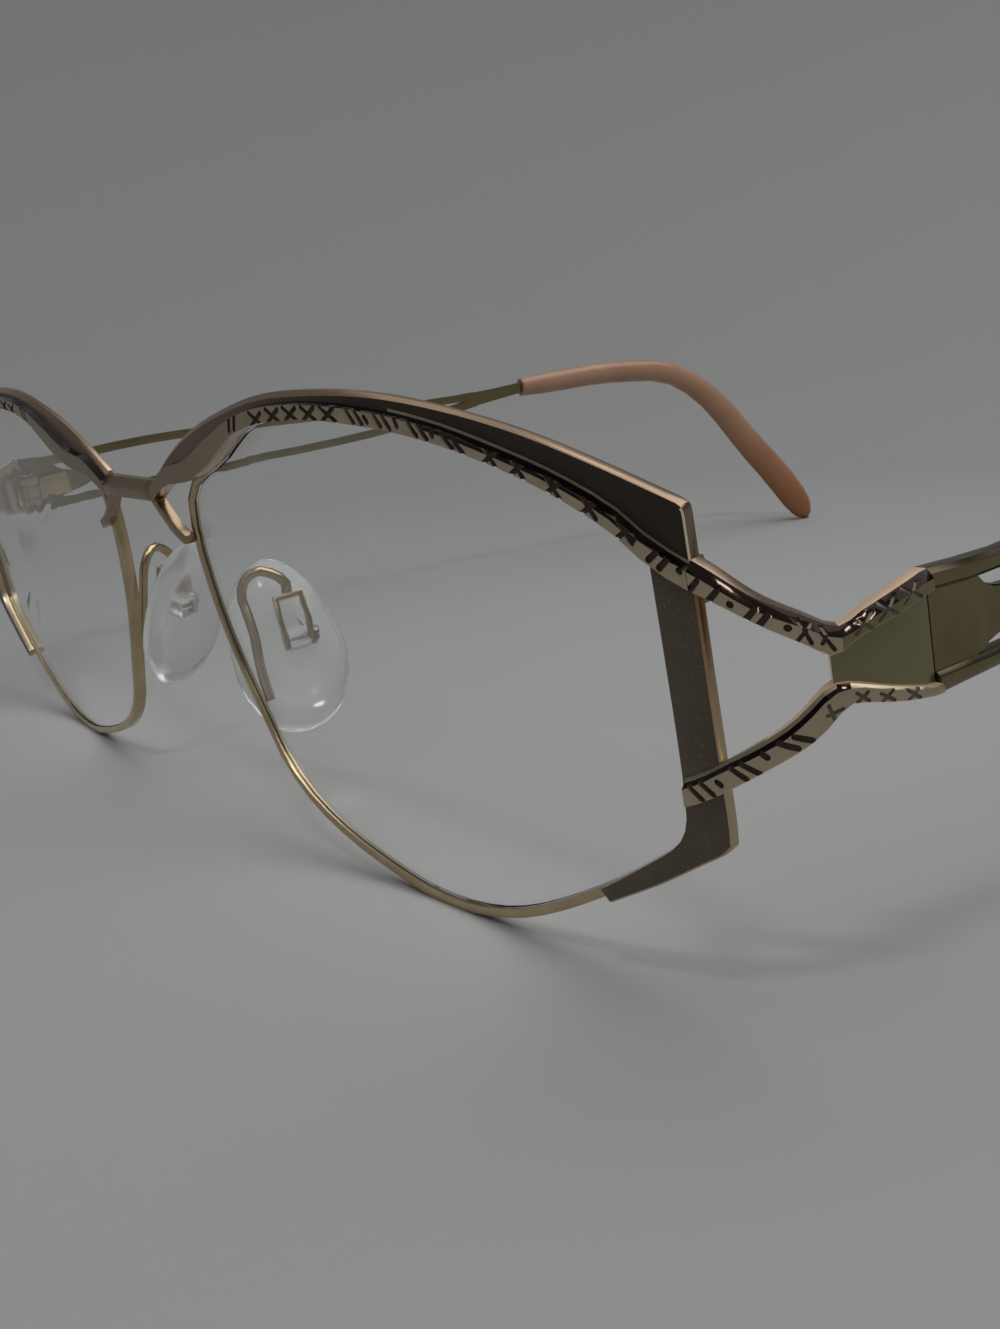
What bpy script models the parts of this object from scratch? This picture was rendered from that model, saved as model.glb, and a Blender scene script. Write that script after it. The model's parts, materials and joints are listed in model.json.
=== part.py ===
# Cat-eye metal spectacle frame, open and standing on the rims and the temple tips.
# Lengths are in millimetres until place_all() scales them to metres. X is across the face,
# -Y is the front, +Z is up. Left means the wearer's left, which is +X.
from math import asin, atan2, cos, hypot, pi, sin

import bmesh
import bpy
import numpy as np
from mathutils import Matrix, Vector

# Overall
FRONT_W = 137.4            # across the outer faces of the two temples at their hinges
TEMPLE_L = 122.5           # from the temple seam straight back to the end of the tip
FRONT_CURVE = 461.0        # radius of the front's face curve, seen from above
CORNER_R = 8.0             # radius of the wrap from the front to the side
SEAM_S = 74.2              # length along the front from the nose to the temple seam
SEAM_GAP = 0.04            # solder seam between two joined pieces
RUN_FIT = 0.03             # radial clearance of a screw in its hole

# Front plates, depths measured forward from the plate face
PLATE_T = 0.65             # thickness of the front plates
BAND_UP = 0.55             # height of the engraved band above the plate face
EDGE_BEVEL = 0.12          # fine bevel round the plates
TOP_BEVEL = 0.3            # wider bevel along the top of the brow

# Eyewire and lens
RIM_W = 0.65               # eyewire, seen from the front
RIM_D = 1.05               # eyewire, front to back
RIM_FACE = -PLATE_T - 0.05 # the eyewire lies just behind the plates
GROOVE = 0.28              # depth of the lens groove
GROOVE_HALF = 0.36         # half the groove's mouth
GROOVE_FIT = 0.04          # play of the lens edge in the groove
LENS_DOME = 0.8            # rise of the lens at its middle
REST_RUN = 3.4             # half length of the flat under each rim
EDGE_POINTS = 66           # points round the lens and the eyewire

# Endpiece hinge
BARREL_R = 1.1
PIN_R = 0.55
AXIS_IN = 1.95             # hinge axis behind the outer face of the temple
KNUCKLE_LOW = 18.7
KNUCKLE_TOP = 22.1
MID_LOW = 19.7
MID_TOP = 21.1
KNUCKLE_GAP = 0.05
LEAF_T = 0.6

# Temple, lengths measured back from the seam
TEMPLE_T = 0.8
TEMPLE_IN = 0.0296         # inward lean of a temple, per unit of length
FORK_END = 62.0            # where the two bars meet
SHAFT_END = 72.9           # where the plastic tip begins
CORE_W = 0.85
CORE_H = 1.2
CORE_FIT = 0.05
CORE_END = 43.0            # length of core inside the tip

# Nose pad
PAD_H = 14.2
PAD_W = 9.3
PAD_T = 2.6
PAD_SHIFT = 0.9            # pad's middle in front of the screw
LUG_T = 1.6
LUG_FIT = 0.05
WALL_T = 0.35
STRAP_H = 3.45             # crown of the strap above the screw
PAD_PIN_R = 0.33
PAD_FRONT = 1.25           # screw axis to the back of the pad
WIRE_R = 0.4

# Rim lock
LOCK_Z = 25.0
LOCK_H = 1.2
LOCK_PIN_R = 0.33

# Lens opening of the left rim: distance from the nose along the front, height
OPENING = [
    (58.9, LOCK_Z), (58.92, 20.0), (58.88, 14.8), (58.65, 11.8), (57.7, 10.05), (54.5, 7.9), (50.8, 5.75),
    (45.7, 3.25), (41.4, 1.62), (37.2, 0.78), (32.9, 0.63), (28.9, 1.18), (22.6, 2.75), (17.9, 4.85),
    (15.1, 7.4), (13.5, 10.3), (11.1, 14.85), (9.9, 18.0), (9.2, 21.0), (8.87, 24.2), (9.2, 26.4),
    (10.2, 28.0), (12.9, 29.3), (16.2, 30.45), (21.5, 33.0), (28.0, 33.85), (35.0, 33.7), (42.8, 32.75),
    (50.9, 30.65), (56.4, 28.3), (58.3, 26.95),
]

METALS = {
    "rose_gold": ((0.72, 0.52, 0.36), 0.18, 1.0),
    "taupe": ((0.115, 0.10, 0.078), 0.5, 0.35),
    "steel": ((0.55, 0.52, 0.47), 0.25, 1.0),
    "clear": ((0.9, 0.92, 0.92), 0.03, 0.0),
    "silicone": ((0.85, 0.85, 0.8), 0.2, 0.0),
    "amber": ((0.40, 0.22, 0.14), 0.25, 0.0),
}


# Curves

def spline(points, count, closed=False):
    """Even samples of the Catmull-Rom curve through the points."""
    p = np.array(points, float)
    n = len(p)
    spans = n if closed else n - 1
    fine = []
    for i in range(spans):
        if closed:
            a, b, c, d = p[i - 1], p[i], p[(i + 1) % n], p[(i + 2) % n]
        else:
            b, c = p[i], p[i + 1]
            a = p[i - 1] if i else 2 * b - c
            d = p[i + 2] if i + 2 < n else 2 * c - b
        for t in np.arange(24) / 24:
            m, q = c - a, d - b
            fine.append(b + 0.5 * t * m + t * t * (3 * (c - b) - m - 0.5 * q)
                        + t ** 3 * (2 * (b - c) + 0.5 * m + 0.5 * q))
    fine.append(p[0] if closed else p[-1])
    fine = np.array(fine)
    run = np.concatenate([[0], np.cumsum(np.linalg.norm(np.diff(fine, axis=0), axis=1))])
    at = np.linspace(0, run[-1], count + 1 if closed else count)
    even = np.stack([np.interp(at, run, fine[:, k]) for k in range(p.shape[1])], 1)
    return even[:-1] if closed else even


def graph(points):
    """Height as a function of length, through smooth points."""
    line = spline(points, 160)
    return lambda s: float(np.interp(s, line[:, 0], line[:, 1]))


def offset(loop, amount):
    """A closed loop moved outward by an amount."""
    tangent = np.roll(loop, -1, 0) - np.roll(loop, 1, 0)
    tangent /= np.linalg.norm(tangent, axis=1)[:, None]
    normal = np.stack([-tangent[:, 1], tangent[:, 0]], 1)
    middle = loop.mean(0)
    if ((loop - middle) * normal).sum() < 0:
        normal = -normal
    return loop + normal * amount


# The outlines are drawn for a front 137.4 wide and a temple 122.5 long, and stretch with those sizes
WIDE = FRONT_W / 137.4
LONG = TEMPLE_L / 122.5

HALF_WIDTH = FRONT_W / 2
TURN = asin((HALF_WIDTH - CORNER_R) / (FRONT_CURVE - CORNER_R))
FLAT_S = TURN * FRONT_CURVE
ARC_S = CORNER_R * (pi / 2 - TURN)
TURN_X = FRONT_CURVE * sin(TURN)
TURN_Y = FRONT_CURVE * (1 - cos(TURN))
SEAM_Y = TURN_Y + CORNER_R * cos(TURN) + (SEAM_S * WIDE - FLAT_S - ARC_S)


def front(s, z, d):
    """A point of the front: length from the nose, height, depth forward."""
    s *= WIDE
    turn = min(s, FLAT_S) / FRONT_CURVE
    x = FRONT_CURVE * sin(turn)
    y = FRONT_CURVE * (1 - cos(turn))
    if s > FLAT_S:
        turn = TURN + min(s - FLAT_S, ARC_S) / CORNER_R
        x = TURN_X + CORNER_R * (sin(turn) - sin(TURN))
        y = TURN_Y + CORNER_R * (cos(TURN) - cos(turn)) + max(0.0, s - FLAT_S - ARC_S)
    return (x + d * sin(turn), y - d * cos(turn), z)


def side(u, z, d, inward=0.0):
    """A point of the temple: length back from the seam, height, depth outward."""
    u *= LONG
    return (HALF_WIDTH - TEMPLE_IN * u - inward + d, SEAM_Y + u, z)


# Solids

def solid(name, rings, closed=False):
    """A closed body through rings of points, with flat ends unless the rings close."""
    bm = bmesh.new()
    rows = [[bm.verts.new(p) for p in ring] for ring in rings]
    n = len(rows[0])
    for a, b in zip(rows, rows[1:] + (rows[:1] if closed else [])):
        for k in range(n):
            bm.faces.new((a[k], a[(k + 1) % n], b[(k + 1) % n], b[k]))
    if not closed:
        bm.faces.new(rows[0])
        bm.faces.new(rows[-1][::-1])
    bmesh.ops.recalc_face_normals(bm, faces=bm.faces)
    return keep(name, bm)


def keep(name, bm):
    mesh = bpy.data.meshes.new(name)
    bm.to_mesh(mesh)
    bm.free()
    obj = bpy.data.objects.new(name, mesh)
    bpy.context.scene.collection.objects.link(obj)
    return obj


def block(x, y, z):
    """A box between two values on each axis."""
    corners = [(x[0], y[0]), (x[1], y[0]), (x[1], y[1]), (x[0], y[1])]
    return solid("tool", [[(a, b, h) for a, b in corners] for h in z])


def rod(start, end, radius, sides=20):
    """A round bar between two points."""
    start, end = Vector(start), Vector(end)
    axis = (end - start).normalized()
    turn = axis.to_track_quat("Z", "Y")
    ring = [turn @ Vector((radius * cos(t), radius * sin(t), 0))
            for t in np.arange(sides) * 2 * pi / sides]
    return solid("tool", [[tuple(base + v) for v in ring] for base in (start, end)])


def combine(name, first, others, kind):
    """Join or cut solids and keep the result as one body."""
    for other in others:
        cut = first.modifiers.new("join", "BOOLEAN")
        cut.operation = kind
        cut.solver = "EXACT"
        cut.object = other
    bpy.context.view_layer.update()
    graph_now = bpy.context.evaluated_depsgraph_get()
    mesh = bpy.data.meshes.new_from_object(first.evaluated_get(graph_now))
    for old in [first] + list(others):
        bpy.data.objects.remove(old)
    bm = bmesh.new()
    bm.from_mesh(mesh)
    bmesh.ops.remove_doubles(bm, verts=bm.verts, dist=0.002)
    bmesh.ops.dissolve_degenerate(bm, edges=bm.edges, dist=0.002)
    return keep(name, bm)


def join(name, *bodies):
    return combine(name, bodies[0], bodies[1:], "UNION")


def drill(name, body, *cutters):
    return combine(name, body, cutters, "DIFFERENCE")


# Eyewire and lens

def opening(count):
    return spline(OPENING, count, closed=True)


def eyewire(name):
    """Grooved wire round the lens, split at the rim lock."""
    inner = opening(EDGE_POINTS)
    outer = offset(inner, RIM_W)
    groove = offset(inner, GROOVE)
    face, back = RIM_FACE, RIM_FACE - RIM_D
    middle = (face + back) / 2
    rings = []
    for a, b, g in zip(inner, outer, groove):
        rings.append([front(*b, face), front(*b, back), front(*a, back),
                      front(*a, middle - GROOVE_HALF), front(*g, middle),
                      front(*a, middle + GROOVE_HALF), front(*a, face)])
    first = rings.pop(0)
    gap = 0.06
    top = [(x, y, z + gap) for x, y, z in first]
    low = [(x, y, z - gap) for x, y, z in first]
    return solid(name, [low] + rings + [top])


def lens(name):
    """Thin domed lens whose edge bevel sits in the groove."""
    base = opening(EDGE_POINTS)
    middle = RIM_FACE - RIM_D / 2
    lift = GROOVE_FIT * hypot(GROOVE, GROOVE_HALF) / GROOVE
    half = GROOVE_HALF - lift
    apex = half * GROOVE / GROOVE_HALF
    centre = base.mean(0)

    def ring(grow, share, d):
        loop = centre + (offset(base, grow) - centre) * share
        rise = LENS_DOME * (1 - share ** 2)
        return [front(s, z, d + rise) for s, z in loop]

    shares = (1.0, 0.72, 0.36)
    rings = [ring(-0.06, k, middle - half - 0.06) for k in shares[::-1]]
    rings.append(ring(apex, 1.0, middle))
    rings += [ring(-0.06, k, middle + half + 0.06) for k in shares]
    return solid(name, rings)


# Brow, bar, endpiece and bridge

def upper_edge(s):
    """Lower edge of the engraved band, which is the lens opening's upper edge."""
    loop = opening(336)
    high = loop[loop[:, 1] > 26.9]
    high = high[np.argsort(high[:, 0])]
    high = high[(high[:, 0] > 13.0) & (high[:, 0] < 58.2)]
    run = [(4.9, 27.2), (6.9, 28.2), (8.8, 28.8), (12.2, 29.1)] + [tuple(p) for p in high[::6]]
    run += [(58.85, 26.55), (60.05, 25.84), (61.75, 25.12)]
    return float(np.interp(s, *zip(*run)))


BROW_TOP = [(4.9, 28.95), (8.7, 31.0), (13.1, 32.8), (18.6, 34.3), (24.7, 35.4), (31.6, 35.63),
            (38.0, 35.32), (43.6, 34.55), (50.2, 33.18), (55.8, 31.5), (61.75, 29.42)]
BAND_W = [(5, 1.1), (16, 1.75), (21, 1.05), (40, 0.9), (50, 0.75), (60, 1.05), (62, 1.0)]
BAND_STEP = [(5, 0.1), (30, 0.12), (50, 0.12), (62, 0.14)]
FIN_S = 61.75


def brow(name):
    """Brow plate: raised engraved band, lacquered field, bevelled top and fin."""
    top = graph(BROW_TOP)
    lengths = list(np.linspace(4.98, 20, 13)) + list(np.linspace(21.6, 60.4, 25))
    rings = []
    for s in lengths + [FIN_S - 0.45, FIN_S - 0.15, FIN_S - 0.03, FIN_S]:
        low = upper_edge(s)
        band = np.interp(s, *zip(*BAND_W))
        step = np.interp(s, *zip(*BAND_STEP))
        high = top(s) - np.interp(s, [FIN_S - 0.45, FIN_S - 0.15, FIN_S - 0.03, FIN_S], [0, 0.08, 0.25, 0.6])
        field = high - TOP_BEVEL * np.interp(s, [5, 12, 30, 40, 46], [1.0, 1.2, 1.15, 0.7, 0.4])
        bevel = TOP_BEVEL if s < FIN_S else EDGE_BEVEL
        profile = [(low, -PLATE_T), (low, BAND_UP), (low + band, BAND_UP), (low + band + step, 0.0),
                   (field, 0.0), (high, -bevel), (high, -PLATE_T)]
        rings.append([front(s, z, d) for z, d in profile])
    return solid(name, rings)


BAR_OUT = [(61.72, 24.98), (61.7, 20.0), (61.72, 14.5), (61.7, 11.4), (61.35, 10.35), (59.1, 9.0),
           (55.85, 7.15), (52.4, 5.4), (51.5, 4.95)]
BAR_IN = [(58.87, 26.33), (58.9, 21.5), (58.9, 16.5), (58.8, 13.3), (58.5, 11.2), (57.3, 9.7),
          (54.5, 7.9), (52.2, 6.5), (50.8, 5.72)]


def bar(name):
    """Upright lacquered bar beside the lens, sweeping in under its lower corner."""
    rings = []
    for a, b in zip(spline(BAR_IN, 30), spline(BAR_OUT, 30)):
        width = np.linalg.norm(b - a)
        across = (b - a) / width
        profile = [(0, 0.0), (width - EDGE_BEVEL, 0.0), (width, -EDGE_BEVEL), (width, -PLATE_T), (0, -PLATE_T)]
        rings.append([front(*(a + across * w), d) for w, d in profile])
    return solid(name, rings)


ARM_S = FIN_S + SEAM_GAP
WAIST_S = 68.3
ARM_UP_LOW = [(ARM_S, 25.1), (63.4, 24.4), (65.3, 23.3), (67.0, 22.3), (68.0, 21.6), (68.6, 21.4),
              (69.3, 21.9), (70.7, 22.45), (73.74, 23.2)]
ARM_UP_TOP = [(ARM_S, 26.6), (63.0, 26.0), (65.1, 24.65), (67.1, 23.62), (68.8, 22.75), (70.1, 23.3),
              (71.8, 23.85), (73.74, 24.3)]
ARM_DOWN_LOW = [(59.2, 12.8), (60.4, 13.3), (62.0, 14.1), (64.4, 15.5), (66.4, 16.65), (67.5, 17.45),
                (68.6, 18.55), (69.3, 18.78), (71.3, 18.3), (73.74, 17.8)]
ARM_DOWN_TOP = [(59.2, 14.35), (60.6, 14.95), (62.4, 15.95), (64.0, 16.8), (65.9, 17.95), (67.05, 18.9),
                (68.0, 19.7), (69.05, 19.83), (71.4, 19.05), (73.74, 18.3)]


def border(low, top, lengths, back, bevel):
    """Raised border: engraved face, dark chamfer and polished bevel, from the lens side outwards."""
    low, top = graph(low), graph(top)
    rings = []
    for s in lengths:
        a, b = low(s), top(s)
        cut = np.interp(s, [67.5, 69.5], bevel)
        rear = back(s)
        profile = [(a, rear), (a, BAND_UP - 0.06), (a + 0.06, BAND_UP), (b - cut, BAND_UP),
                   (b - cut * 0.42, BAND_UP - cut * 0.5), (b, BAND_UP - cut * 0.9), (b, rear)]
        rings.append([front(s, z, d) for z, d in profile])
    return solid("tool", rings)


def endpiece(name):
    """Y-shaped arms wrapping the corner, closing into a waisted plate at the hinge."""
    seam = SEAM_S - SEAM_GAP
    upper = border(ARM_UP_LOW, ARM_UP_TOP, np.linspace(ARM_S, seam, 22), lambda s: -PLATE_T, (0.5, 0.48))
    ends = [59.2, 60.0, 60.9, ARM_S - 0.04, ARM_S + 0.02]
    behind = lambda s: SEAM_GAP if s < ARM_S else -PLATE_T
    lower = border(ARM_DOWN_LOW, ARM_DOWN_TOP, ends + list(np.linspace(62.6, seam, 19)), behind, (0.5, 0.14))
    low = graph(ARM_DOWN_TOP)
    top = graph(ARM_UP_LOW)
    rings = []
    for s in np.linspace(WAIST_S, seam - 0.02, 9):
        profile = [(low(s) - 0.3, -PLATE_T + 0.04), (low(s) - 0.3, -0.03),
                   (top(s) + 0.3, -0.03), (top(s) + 0.3, -PLATE_T + 0.04)]
        rings.append([front(s, z, d) for z, d in profile])
    return join(name, upper, lower, solid("tool", rings))


STRUT = [(4.2, 27.4), (5.2, 26.45), (6.1, 25.7), (7.0, 24.95), (8.6, 24.3)]


def bridge(name):
    """Top bar between the brows with a strut down to each rim."""
    rings = []
    for s in np.linspace(-4.92, 4.92, 7):
        profile = [(27.2, -PLATE_T), (27.2, BAND_UP - 0.15), (27.35, BAND_UP), (28.0, BAND_UP),
                   (28.75, 0.0), (28.75, -PLATE_T)]
        rings.append([mirror_x(front(abs(s), z, d), s < 0) for z, d in profile])
    parts = [solid("tool", rings)]
    for flip in (False, True):
        line = spline(STRUT, 6)
        rings = []
        for k, (s, z) in enumerate(line):
            across = Vector((line[min(k + 1, 5)] - line[max(k - 1, 0)])).normalized() * 0.36
            profile = [(-1, -PLATE_T), (-1, BAND_UP - 0.35), (1, BAND_UP - 0.35), (1, -PLATE_T)]
            rings.append([mirror_x(front(s - w * across.y, z + w * across.x, d), flip)
                          for w, d in profile])
        parts.append(solid("tool", rings))
    return join(name, *parts)


def mirror_x(p, flip):
    return (-p[0], p[1], p[2]) if flip else p


# Temple and its plastic tip

BAR_TOP_HIGH = [(0.03, 24.25), (3, 23.9), (6.4, 23.6), (12, 23.5), (20, 22.95), (36, 21.1),
                (50, 19.2), (FORK_END, 17.95), (66, 17.7)]
BAR_TOP_LOW = [(0.03, 23.1), (3, 22.75), (6.4, 22.6), (12, 22.5), (20, 21.95), (36, 20.1),
               (50, 18.2), (FORK_END, 16.95), (66, 16.7)]
BAR_LOW_HIGH = [(0.03, 18.8), (6, 18.45), (12, 18.3), (20, 17.9), (30, 17.3), (42, 16.6),
                (52, 16.35), (FORK_END, 16.75), (66, 17.0)]
BAR_LOW_LOW = [(0.03, 17.65), (6, 17.5), (12, 17.35), (20, 16.95), (30, 16.35), (42, 15.65),
               (52, 15.35), (FORK_END, 15.65), (66, 15.85)]
TONGUE_LOW = [(0.03, 18.2), (3.6, 18.5), (4.7, 18.95), (6, 19.2), (8, 19.55), (9.4, 20.2)]
TONGUE_TOP = [(0.03, 23.3), (3.6, 23.0), (4.7, 22.1), (6, 21.65), (8, 21.4), (9.4, 20.75)]


def ribbon(low, top, lengths, face, back, round_off=0.25):
    """Flat bar of the temple with softened outer edges."""
    low, top = graph(low), graph(top)
    rings = []
    for u in lengths:
        a, b = low(u), top(u)
        c = min(round_off, (b - a) * 0.3)
        profile = [(a, back), (a, face - c), (a + c, face), (b - c, face), (b, face - c), (b, back)]
        rings.append([side(u, z, d) for z, d in profile])
    return solid("tool", rings)


TIP_LINE = [(SHAFT_END, 16.65), (79.8, 16.1), (87.2, 15.5), (94.7, 14.3), (98.5, 13.4), (102.2, 11.7),
            (105.3, 9.3), (108.5, 6.1), (111.6, 1.6), (114.8, -3.2), (118.2, -8.0), (122.5, -15.6)]
TIP_INWARD = 2.6


def tip_frame(count):
    """Points along the tip with the in-plane normal at each."""
    line = spline(TIP_LINE, count)
    slope = np.gradient(line, axis=0)
    slope /= np.linalg.norm(slope, axis=1)[:, None]
    return line, np.stack([-slope[:, 1], slope[:, 0]], 1), slope


def tip_ring(point, normal, share, high, wide, sides, forward=0.0):
    inward = TIP_INWARD * max(0.0, (share - 0.45) / 0.55) ** 2
    ring = []
    for t in np.arange(sides) * 2 * pi / sides:
        u, z = point + normal * high / 2 * sin(t)
        ring.append(side(u, z, wide / 2 * cos(t) - TEMPLE_T / 2, inward))
    return ring


def temple(name):
    """Openwork side: two bars round a tongue, one shaft, and the core for the tip."""
    lengths = [SEAM_GAP, 3, 6, 9, 12, 16, 20, 25, 30, 36, 42, 47, 52, 57, FORK_END, 65]
    up = ribbon(BAR_TOP_LOW, BAR_TOP_HIGH, lengths, 0.3, -TEMPLE_T)
    down = ribbon(BAR_LOW_LOW, BAR_LOW_HIGH, lengths, 0.3, -TEMPLE_T)
    tongue = ribbon(TONGUE_LOW, TONGUE_TOP, [SEAM_GAP + 0.02, 2, 3.4, 4.0, 4.6, 5.2, 6, 7, 8, 8.8, 9.4],
                    -0.05, -TEMPLE_T + 0.06, 0.1)
    shaft = ribbon([(62.5, 15.8), (68, 15.9), (SHAFT_END, 15.95)], [(62.5, 17.85), (68, 17.5), (SHAFT_END, 17.35)],
                   [63, 65.5, 68, 70.5, SHAFT_END - 0.1], 0.22, -TEMPLE_T + 0.06)
    line, normal, _ = tip_frame(64)
    run = np.concatenate([[0], np.cumsum(np.linalg.norm(np.diff(line, axis=0), axis=1))])
    rings = [tip_ring(line[0] - (1.0, 0.0), normal[0], 0, CORE_H, CORE_W, 8)]
    for k in range(0, 64, 3):
        if run[k] <= CORE_END:
            rings.append(tip_ring(line[k], normal[k], run[k] / run[-1], CORE_H, CORE_W, 8))
    return join(name, up, down, tongue, shaft, solid("tool", rings))


def temple_tip(name):
    """Plastic ear tip with a blind bore for the core."""
    line, normal, slope = tip_frame(64)
    run = np.concatenate([[0], np.cumsum(np.linalg.norm(np.diff(line, axis=0), axis=1))])
    share = run / run[-1]

    def size(t):
        high = np.interp(t, [0, 0.06, 0.45, 0.65, 0.9], [2.5, 2.9, 3.3, 4.3, 5.0])
        wide = np.interp(t, [0, 0.06, 0.5, 1.0], [2.0, 2.3, 2.6, 2.5])
        return high, wide

    stations = list(range(0, 57, 4))
    outer = [tip_ring(line[k], normal[k], share[k], *size(share[k]), 12) for k in stations]
    for k, shrink in ((59, 0.97), (61, 0.84), (62, 0.68), (63, 0.36)):
        high, wide = size(share[k])
        outer.append(tip_ring(line[k], normal[k], share[k], high * shrink, wide * shrink, 12))
    bore = [tip_ring(line[k], normal[k], share[k], CORE_H + 2 * CORE_FIT, CORE_W + 2 * CORE_FIT, 12)
            for k in range(0, 64, 3) if run[k] <= CORE_END + 3.4]
    bore[-1] = tip_ring(line[3 * (len(bore) - 1)], normal[3 * (len(bore) - 1)],
                        share[3 * (len(bore) - 1)], CORE_H * 0.6, CORE_W * 0.6, 12)
    return solid(name, bore[::-1] + outer)


# Hinge

AXIS_X = HALF_WIDTH - AXIS_IN


def hinge_hole(low, top):
    return rod((AXIS_X, SEAM_Y, low), (AXIS_X, SEAM_Y, top), PIN_R + RUN_FIT)


def hinge_front(name):
    """Leaf curved to the endpiece, with the upper and lower knuckles."""
    near = -PLATE_T - SEAM_GAP
    leaf = solid("tool", [[front(s, KNUCKLE_LOW, near), front(s, KNUCKLE_LOW, near - LEAF_T),
                           front(s, KNUCKLE_TOP, near - LEAF_T), front(s, KNUCKLE_TOP, near)]
                          for s in np.linspace(SEAM_S - 2.5 * BARREL_R, SEAM_S - 0.5, 6)])
    barrel = rod((AXIS_X, SEAM_Y, KNUCKLE_LOW), (AXIS_X, SEAM_Y, KNUCKLE_TOP), BARREL_R)
    body = join("tool", leaf, barrel)
    slot = block((AXIS_X - 2 * BARREL_R, AXIS_X + 2 * BARREL_R), (SEAM_Y - BARREL_R - RUN_FIT, SEAM_Y + 2 * BARREL_R),
                 (MID_LOW - KNUCKLE_GAP, MID_TOP + KNUCKLE_GAP))
    return drill(name, body, slot, hinge_hole(KNUCKLE_LOW - 1, KNUCKLE_TOP + 1))


def hinge_temple(name):
    """Leaf on the temple with the middle knuckle."""
    near = -TEMPLE_T - SEAM_GAP
    low, top = KNUCKLE_LOW + 0.4, KNUCKLE_TOP - 0.4
    leaf = solid("tool", [[side(u, low, near), side(u, low, near - LEAF_T - 0.5),
                           side(u, top, near - LEAF_T - 0.5), side(u, top, near)]
                          for u in (BARREL_R + 0.15, BARREL_R + 3.9)])
    neck = block((AXIS_X - 0.3, AXIS_X + 0.88), (SEAM_Y + 0.1, SEAM_Y + BARREL_R + 0.5), (MID_LOW, MID_TOP))
    barrel = rod((AXIS_X, SEAM_Y, MID_LOW), (AXIS_X, SEAM_Y, MID_TOP), BARREL_R)
    return drill(name, join("tool", leaf, neck, barrel), hinge_hole(MID_LOW - 1, MID_TOP + 1))


def slotted_screw(name, base, axis, radius, length, head_r, head_h):
    """Screw with a cheese head; base is under the head, axis points out of the head."""
    base, axis = Vector(base), Vector(axis).normalized()
    turn = axis.to_track_quat("Z", "Y")
    rings = []
    for r, h in ((radius * 0.8, -length), (radius, -length + 0.15), (radius, 0.0), (head_r, 0.0),
                 (head_r, head_h * 0.75), (head_r * 0.85, head_h)):
        rings.append([tuple(base + turn @ Vector((r * cos(t), r * sin(t), h)))
                      for t in np.arange(14) * 2 * pi / 14])
    body = solid("tool", rings)
    cut = block((-head_r * 1.3, head_r * 1.3), (-head_r * 0.16, head_r * 0.16), (head_h * 0.5, head_h * 2))
    cut.data.transform(Matrix.Translation(base) @ turn.to_matrix().to_4x4())
    return drill(name, body, cut)


def hinge_screw(name):
    return slotted_screw(name, (AXIS_X, SEAM_Y, KNUCKLE_TOP + 0.03), (0, 0, 1), PIN_R,
                         KNUCKLE_TOP - KNUCKLE_LOW, 0.88, 0.42)


# Rim lock

LOCK_S = 60.35
LOCK_D = -PLATE_T - 0.75


def lock_half(name, low, top):
    """One half of the closing block soldered behind the bar on the eyewire."""
    ahead, rear = -PLATE_T - 0.06, LOCK_D - 0.7
    near, far = OPENING[1][0] + RIM_W + SEAM_GAP, LOCK_S + 0.75
    corners = [(near, ahead), (far, ahead), (far, rear + 0.35), (far - 0.35, rear), (near, rear)]
    body = solid("tool", [[front(s, z, d) for s, d in corners] for z in (low, top)])
    pin = front(LOCK_S, 0, LOCK_D)
    hole = rod((pin[0], pin[1], low - 1), (pin[0], pin[1], top + 1), LOCK_PIN_R + RUN_FIT, 14)
    return drill(name, body, hole)


def lock_upper(name):
    return lock_half(name, LOCK_Z + 0.04, LOCK_Z + LOCK_H)


def lock_lower(name):
    return lock_half(name, LOCK_Z - LOCK_H, LOCK_Z - 0.04)


def lock_screw(name):
    x, y, _ = front(LOCK_S, 0, LOCK_D)
    return slotted_screw(name, (x, y, LOCK_Z + LOCK_H + 0.03), (0, 0, 1), LOCK_PIN_R,
                         2 * LOCK_H - 0.1, 0.55, 0.32)


# Nose pad: across runs along the screw, up along the pad, out towards the nose

PAD_AT = Vector((12.57 * WIDE, 5.83, 15.27))
PAD_ACROSS = Vector((0.292, 0.957, 0.0)).normalized()
PAD_OUT = Vector((-0.889, 0.273, -0.368)).normalized()
PAD_UP = PAD_OUT.cross(PAD_ACROSS).normalized() * -1
if PAD_UP.z < 0:
    PAD_UP = -PAD_UP
PAD_OUT = (PAD_ACROSS.cross(PAD_UP)).normalized()
if PAD_OUT.x > 0:
    PAD_OUT = -PAD_OUT


def pad_point(a, b, c):
    return tuple(PAD_AT + PAD_ACROSS * a + PAD_UP * b + PAD_OUT * c)


def pad_block(a, b, c):
    corners = [(a[0], b[0]), (a[1], b[0]), (a[1], b[1]), (a[0], b[1])]
    return solid("tool", [[pad_point(p, q, h) for p, q in corners] for h in c])


def pad_bore(low, top, radius):
    return rod(pad_point(low, 0, 0), pad_point(top, 0, 0), radius, 12)


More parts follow.
